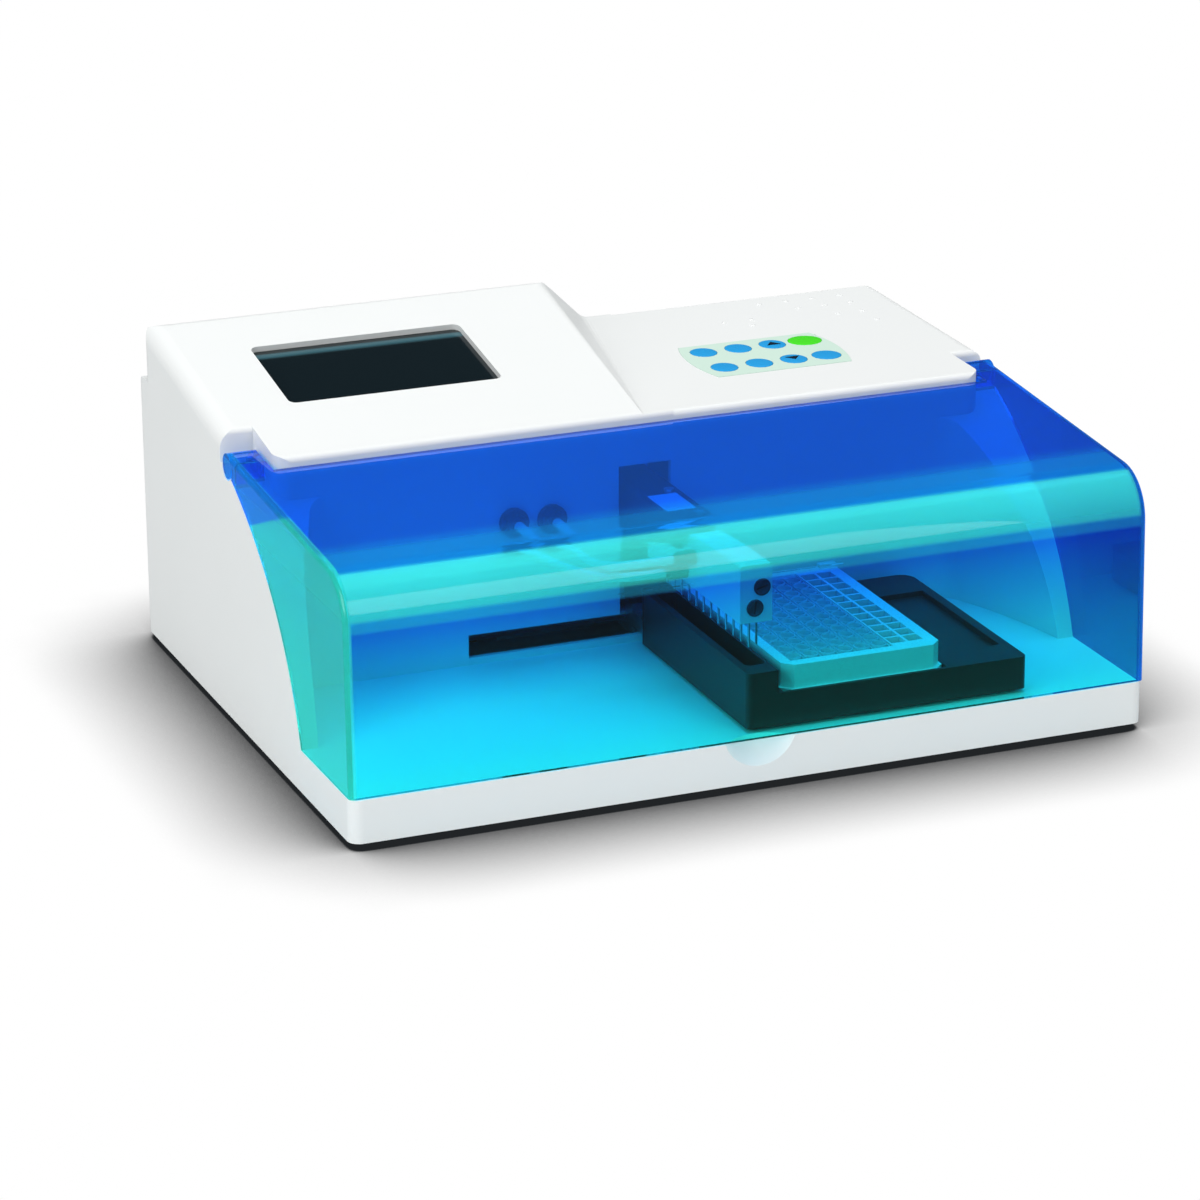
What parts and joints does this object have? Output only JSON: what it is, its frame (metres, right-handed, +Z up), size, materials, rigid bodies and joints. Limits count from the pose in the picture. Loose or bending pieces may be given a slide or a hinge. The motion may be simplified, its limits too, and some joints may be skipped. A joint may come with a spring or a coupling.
{
  "type": "microplate washer",
  "caption": "Bench washer for standard microplates: white housing, hinged blue splash cover, sliding plate carrier under a needle head that dips, sloping display and oval keys.",
  "frame": {"origin": "middle of the footprint, at the underside of the feet", "axes": "+X to the right seen from the front, +Y to the rear, +Z up"},
  "size_m": [0.409, 0.3364, 0.1704],
  "materials": {
    "white_housing": "gloss",
    "blue_cover": "gloss",
    "base_steel": "satin",
    "rubber": "matte",
    "zinc_screws": "satin",
    "black_plastic": "matte",
    "port_plastic": "matte",
    "clear_window": "gloss",
    "display": "gloss",
    "overlay_film": "satin",
    "blue_keys": "satin",
    "green_key": "satin",
    "circuit_board": "satin",
    "steel": "satin",
    "aluminium_parts": "satin",
    "plate_plastic": "gloss",
    "well_plastic": "gloss",
    "black_carrier": "satin",
    "black_motor": "matte",
    "belt_rubber": "matte",
    "head_plastic": "satin",
    "needle_steel": "satin",
    "black_arm": "satin",
    "brass": "satin",
    "black_fitting": "satin",
    "soft_tube": "satin",
    "supply_case": "satin",
    "pump_body": "matte"
  },
  "bodies": {
    "base": {"housing_shell": "white_housing", "base_plate": "base_steel", "rubber_feet": "rubber", "base_screws": "zinc_screws", "rear_panel": "base_steel", "rear_screws": "zinc_screws", "mains_inlet": "black_plastic", "hose_ports": "port_plastic", "lcd_window": "clear_window", "lcd_module": "display", "keypad_overlay": "overlay_film", "keypad_board": "circuit_board", "hinge_pins": "steel", "x_guide_rods": "steel", "x_rod_blocks": "aluminium_parts", "x_motor": "black_motor", "idler_bracket": "steel", "drive_belt": "belt_rubber", "position_sensors": "black_plastic", "lift_frame": "base_steel", "z_guide_rods": "steel", "z_motor": "black_motor", "waste_bulkhead": "black_fitting", "wash_bulkhead": "black_fitting", "waste_tube": "soft_tube", "wash_tube": "soft_tube", "main_board": "circuit_board", "power_supply": "supply_case", "wash_pump": "pump_body", "vacuum_pump": "pump_body", "solenoid_valve": "pump_body"},
    "cover": {"splash_cover": "blue_cover"},
    "carrier": {"plate_carrier": "black_carrier", "carrier_arm": "aluminium_parts", "x_slide_block": "aluminium_parts"},
    "microplate": {"plate_frame": "plate_plastic", "well_strips": "well_plastic"},
    "drive_pulley": {"motor_pulley": "aluminium_parts"},
    "idler": {"idler_pulley": "aluminium_parts"},
    "head": {"wash_manifold": "head_plastic", "manifold_plugs": "black_fitting", "dispense_needles": "needle_steel", "aspirate_needles": "needle_steel", "head_barbs": "black_fitting", "head_arm": "black_arm", "arm_screws": "zinc_screws", "lift_block": "aluminium_parts", "lift_nut": "brass"},
    "screw": {"lift_screw": "steel"},
    "rocker": {"power_rocker": "black_plastic"},
    "key_1_body": {"key_1": "blue_keys"},
    "key_2_body": {"key_2": "blue_keys"},
    "key_3_body": {"key_3": "blue_keys"},
    "key_4_body": {"key_4": "blue_keys"},
    "key_5_body": {"key_5": "blue_keys"},
    "key_6_body": {"key_6": "blue_keys"},
    "key_7_body": {"key_7": "blue_keys"},
    "key_8_body": {"key_8": "green_key"}
  },
  "joints": [
    {"name": "cover_hinge", "type": "hinge", "parent": "base", "child": "cover", "pos_m": [0, 0.00528, 0.1353], "axis": [-1, 0, 0], "range_deg": [0, 100]},
    {"name": "carrier_slide", "type": "slide", "parent": "base", "child": "carrier", "axis": [1, 0, 0], "range_m": [-0.084, 0]},
    {"name": "microplate_lift_off", "type": "slide", "parent": "carrier", "child": "microplate", "axis": [0, 0, 1], "range_m": [0, 0.025]},
    {"name": "head_lift", "type": "slide", "parent": "base", "child": "head", "axis": [0, 0, 1], "range_m": [-0.0167, 0], "deforming": ["waste_tube", "wash_tube"]},
    {"name": "drive_pulley_spin", "type": "hinge", "parent": "base", "child": "drive_pulley", "pos_m": [-0.14, 0.03678, 0.052], "axis": [0, 0, 1], "range_deg": [-605, 0]},
    {"name": "idler_spin", "type": "hinge", "parent": "base", "child": "idler", "pos_m": [0.1, 0.03678, 0.052], "axis": [0, 0, 1], "range_deg": [-605, 0]},
    {"name": "lift_screw_spin", "type": "hinge", "parent": "base", "child": "screw", "pos_m": [-0.02, 0.06878, 0.085], "axis": [0, 0, 1], "range_deg": [-755, 0]},
    {"name": "rocker_tip", "type": "hinge", "parent": "base", "child": "rocker", "pos_m": [0.109, 0.15562, 0.06598], "axis": [-1, 0, 0], "range_deg": [0, 10]},
    {"name": "key_1_press", "type": "slide", "parent": "base", "child": "key_1_body", "axis": [0, -0.0176, 0.9998], "range_m": [-0.0005, 0], "stiffness_N_per_m": 400},
    {"name": "key_2_press", "type": "slide", "parent": "base", "child": "key_2_body", "axis": [0, -0.0176, 0.9998], "range_m": [-0.0005, 0], "stiffness_N_per_m": 400},
    {"name": "key_3_press", "type": "slide", "parent": "base", "child": "key_3_body", "axis": [0, -0.0176, 0.9998], "range_m": [-0.0005, 0], "stiffness_N_per_m": 400},
    {"name": "key_4_press", "type": "slide", "parent": "base", "child": "key_4_body", "axis": [0, -0.0176, 0.9998], "range_m": [-0.0005, 0], "stiffness_N_per_m": 400},
    {"name": "key_5_press", "type": "slide", "parent": "base", "child": "key_5_body", "axis": [0, -0.0176, 0.9998], "range_m": [-0.0005, 0], "stiffness_N_per_m": 400},
    {"name": "key_6_press", "type": "slide", "parent": "base", "child": "key_6_body", "axis": [0, -0.0176, 0.9998], "range_m": [-0.0005, 0], "stiffness_N_per_m": 400},
    {"name": "key_7_press", "type": "slide", "parent": "base", "child": "key_7_body", "axis": [0, -0.0176, 0.9998], "range_m": [-0.0005, 0], "stiffness_N_per_m": 400},
    {"name": "key_8_press", "type": "slide", "parent": "base", "child": "key_8_body", "axis": [0, -0.0176, 0.9998], "range_m": [-0.0005, 0], "stiffness_N_per_m": 400}
  ],
  "couplings": [
    {"joint": "drive_pulley_spin", "follows": "carrier_slide", "rad_per_m": 125},
    {"joint": "idler_spin", "follows": "carrier_slide", "rad_per_m": 125},
    {"joint": "lift_screw_spin", "follows": "head_lift", "rad_per_m": 785.4}
  ]
}
